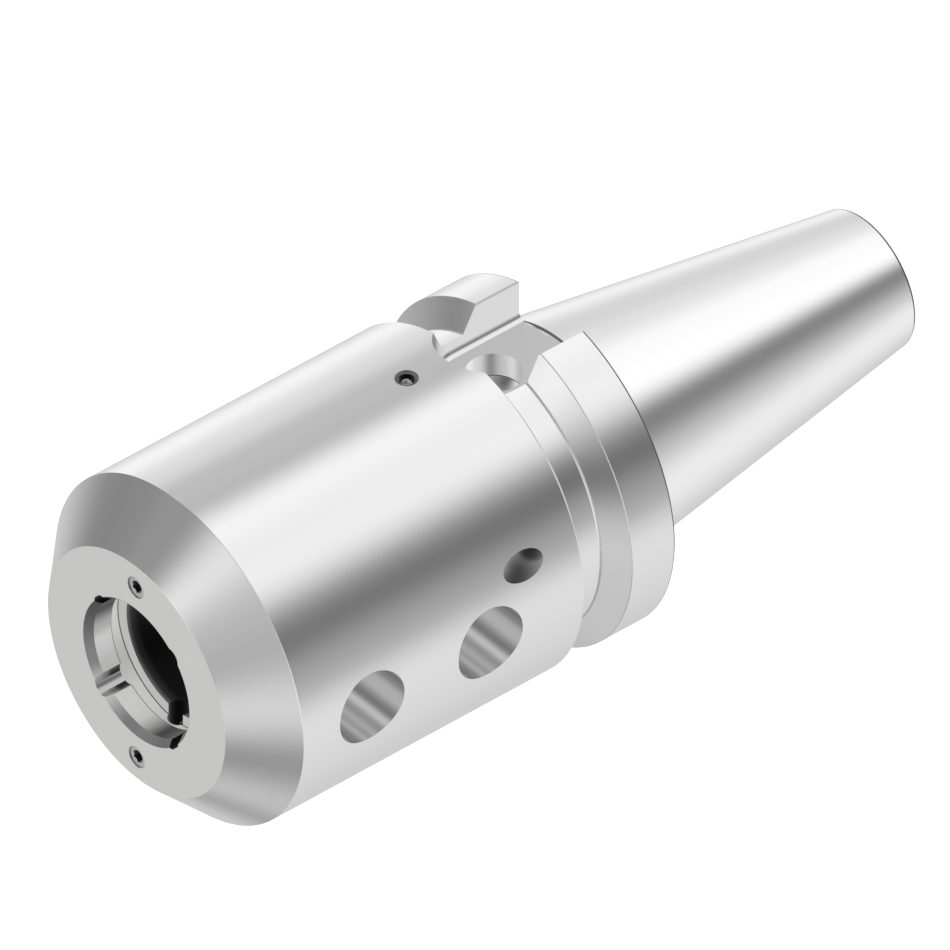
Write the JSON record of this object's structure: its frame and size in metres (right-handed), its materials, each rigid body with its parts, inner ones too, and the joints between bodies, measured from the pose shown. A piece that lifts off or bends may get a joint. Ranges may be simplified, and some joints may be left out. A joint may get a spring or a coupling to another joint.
{
  "type": "endmill holder",
  "caption": "Side-lock endmill holder: steep spindle taper, V-grooved flange with drive keyways, and a round body with a bevelled nose, coolant jets and side clamping screws.",
  "frame": {"origin": "centre of the gauge line, on the axis, where the taper is 44.45 mm across", "axes": "+X along the axis from the nose to the small end of the taper, -Y out of the clamping screw holes, +Z out of the keyway with the drilled dimple"},
  "size_m": [0.1552, 0.063, 0.063],
  "materials": {
    "ground_steel": "fine turned and ground steel, satin",
    "clamp_screw_steel": "black oxide",
    "plug_screw_steel": "dark alloy steel, satin"
  },
  "bodies": {
    "root": {"holder_body": "ground_steel", "clamp_screw_front": "clamp_screw_steel", "clamp_screw_rear": "clamp_screw_steel", "jet_plug_upper": "plug_screw_steel", "jet_plug_lower": "plug_screw_steel", "cross_plug_upper": "plug_screw_steel", "cross_plug_lower": "plug_screw_steel"}
  },
  "joints": []
}
